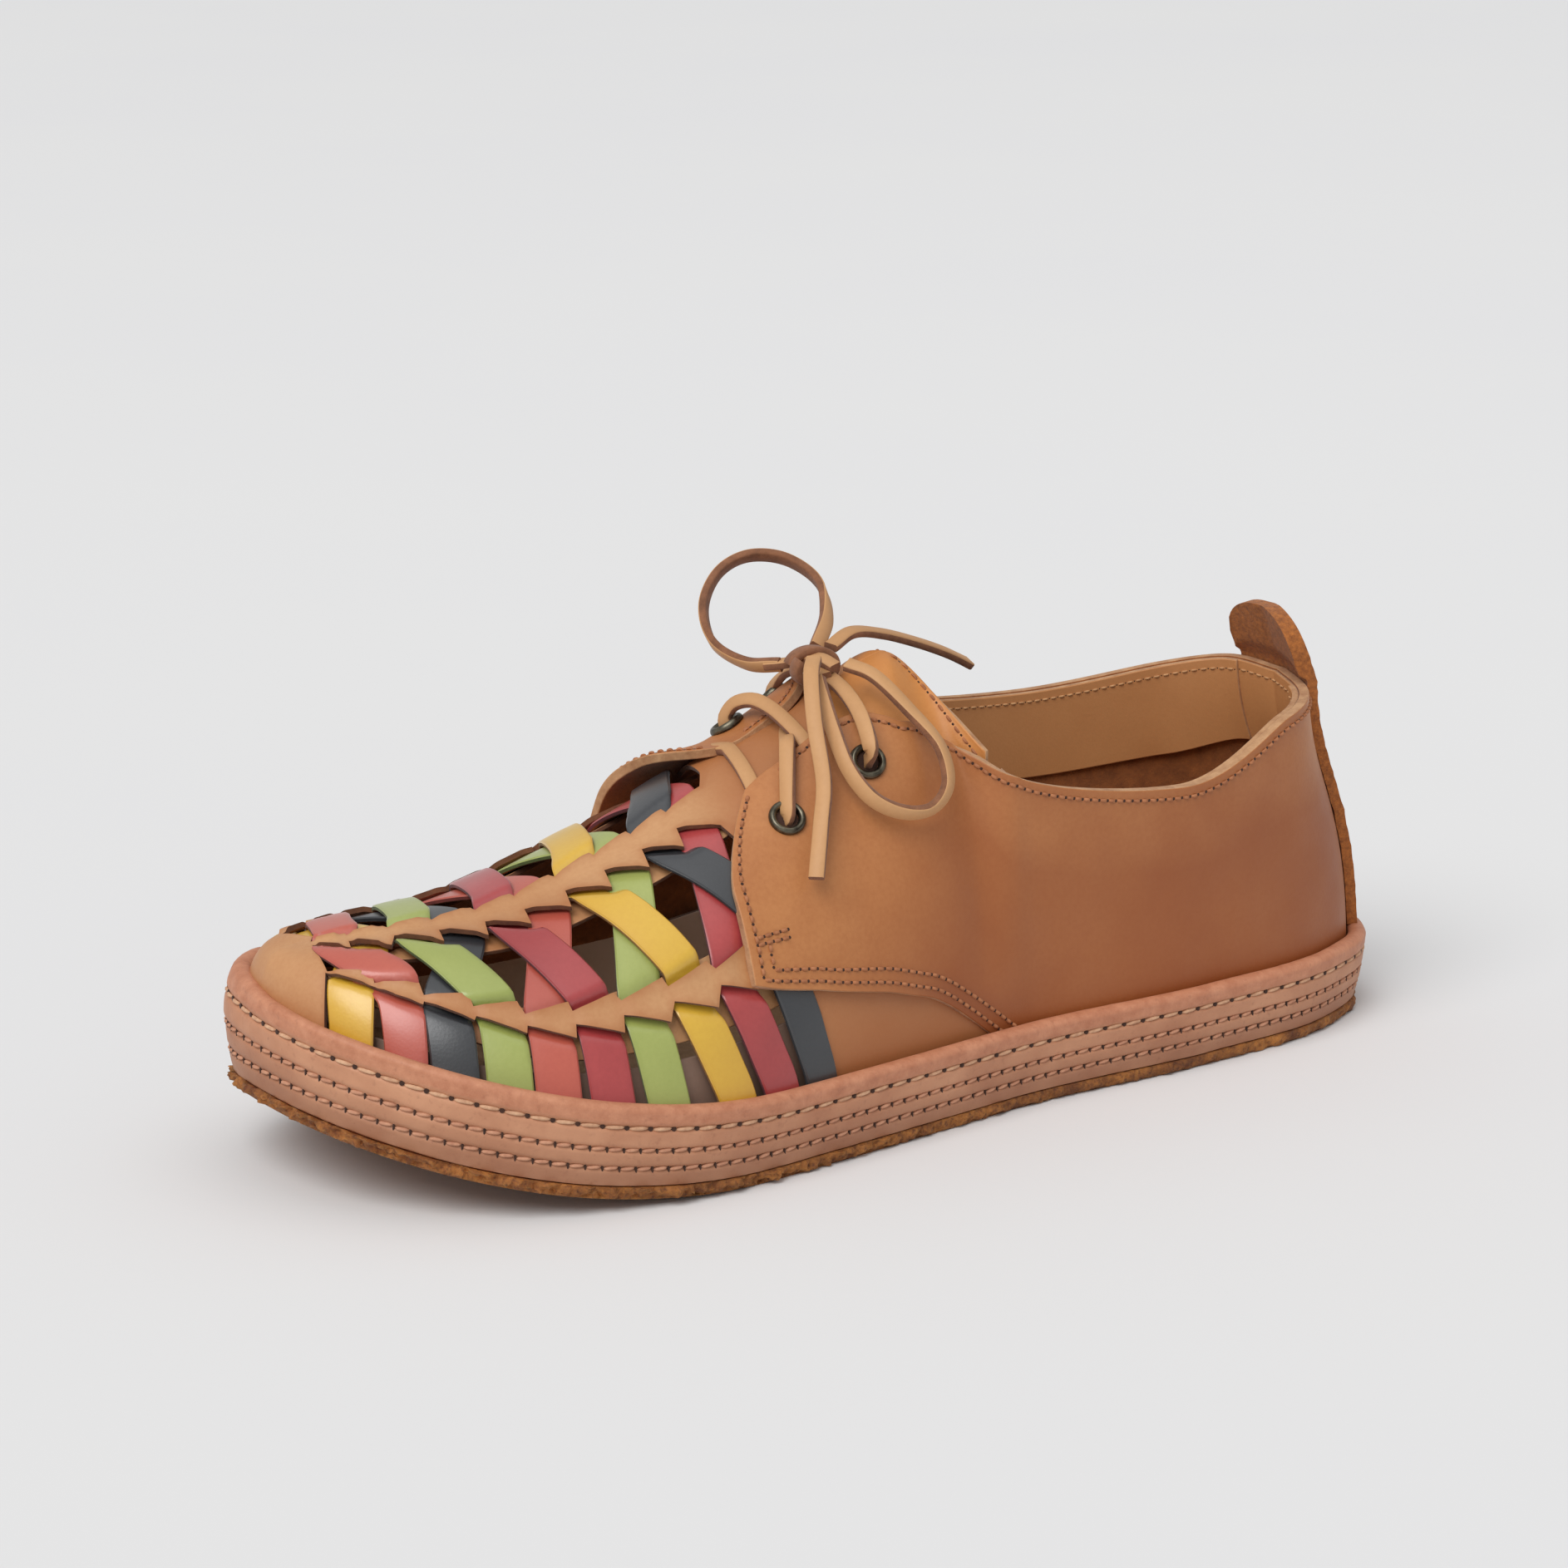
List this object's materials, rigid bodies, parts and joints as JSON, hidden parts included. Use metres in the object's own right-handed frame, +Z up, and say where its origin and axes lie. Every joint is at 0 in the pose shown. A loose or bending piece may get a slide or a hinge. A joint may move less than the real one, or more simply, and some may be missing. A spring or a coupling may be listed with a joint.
{
  "type": "woven leather sneaker",
  "caption": "Low left shoe with a woven strap forefoot between leather bands, lapped quarters, eyelets with a leather lace bow, heel pull tab, stitched sidewall and crepe sole.",
  "frame": {"origin": "on the floor under the middle of the shoe's box, laces left out", "axes": "+X to the toe, +Y to the wearer's left (outer side), +Z up"},
  "size_m": [0.291, 0.1075, 0.1181],
  "materials": {
    "crepe": "rough crepe rubber",
    "foxing": "smooth veg-tan strip, burnished top edge",
    "insole": "matt flesh side",
    "upper_leather": "waxed tan leather, satin",
    "eyelet_metal": "aged, half gloss",
    "lace": "flat leather thong, matt"
  },
  "bodies": {
    "root": {"outsole": "crepe", "sidewall": "foxing", "insole": "insole", "upper": "upper_leather", "tongue": "upper_leather", "heel_stay": "upper_leather", "eyelet_lateral_lower": "eyelet_metal", "eyelet_lateral_upper": "eyelet_metal", "eyelet_medial_lower": "eyelet_metal", "eyelet_medial_upper": "eyelet_metal", "lace_bars": "lace", "lace_knot": "lace", "lace_loop_lateral": "lace", "lace_loop_medial": "lace", "lace_end_lateral": "lace", "lace_end_medial": "lace"}
  },
  "joints": []
}
